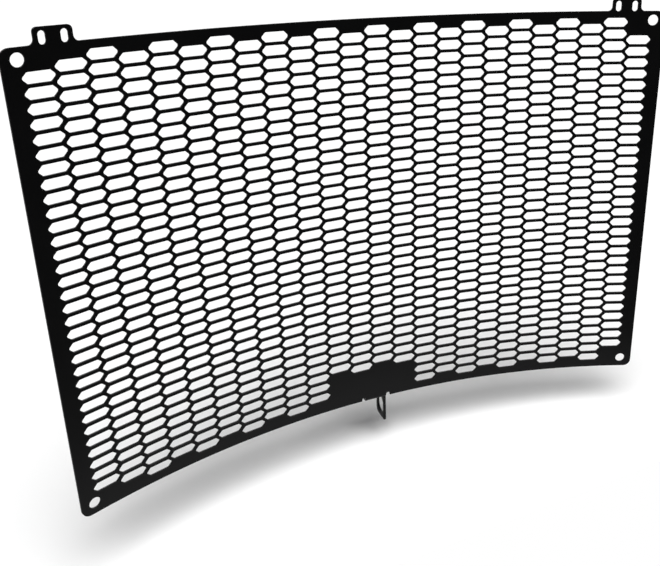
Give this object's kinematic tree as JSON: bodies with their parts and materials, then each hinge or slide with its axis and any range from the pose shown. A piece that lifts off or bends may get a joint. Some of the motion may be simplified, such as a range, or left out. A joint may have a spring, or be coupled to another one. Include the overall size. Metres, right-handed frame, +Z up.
{
  "type": "motorcycle radiator guard",
  "caption": "Thin curved sheet guard for a motorcycle radiator, pierced with long hexagons, with corner holes, slotted ears on top and a folded tab with a slotted lug below.",
  "frame": {"origin": "middle of the sheet's back face, which lies against the radiator", "axes": "+X across the motorcycle, to the right of someone facing the guard; +Y back to the radiator; +Z up"},
  "size_m": [0.4122, 0.0765, 0.3137],
  "materials": {
    "powder_coat": "satin black powder coat on aluminium sheet"
  },
  "bodies": {
    "root": {"radiator_guard": "powder_coat"}
  },
  "joints": []
}
